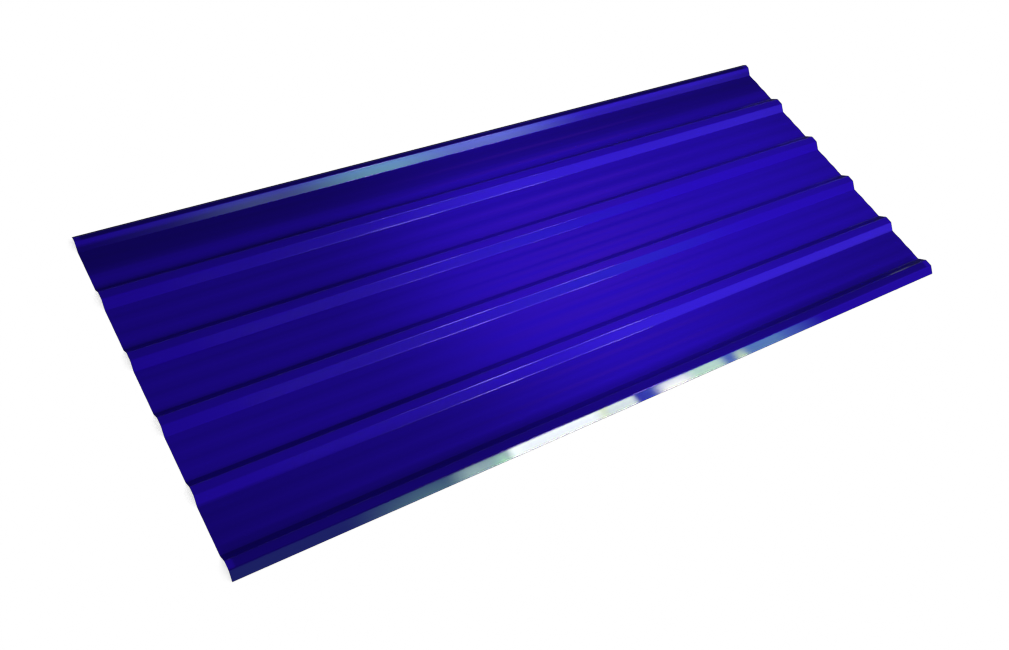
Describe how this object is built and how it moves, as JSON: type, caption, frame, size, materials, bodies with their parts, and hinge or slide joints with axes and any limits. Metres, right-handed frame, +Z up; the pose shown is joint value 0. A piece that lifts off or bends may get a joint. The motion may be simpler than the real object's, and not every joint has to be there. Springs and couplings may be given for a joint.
{
  "type": "trapezoidal corrugated roofing sheet",
  "caption": "Long thin steel roofing sheet with low trapezoidal ribs, shallow stiffeners in the flat pans and a side-lap rib along each long edge.",
  "frame": {"origin": "middle of the middle pan, on its underside, half way along the sheet", "axes": "+X along the ribs, +Y across them towards the under-lap edge, +Z up through the ribs"},
  "size_m": [2.44, 1.0438, 0.0205],
  "materials": {
    "coated_steel": "glossy deep blue coil-coated polyester paint on galvanised steel"
  },
  "bodies": {
    "root": {"roof_sheet": "coated_steel"}
  },
  "joints": []
}
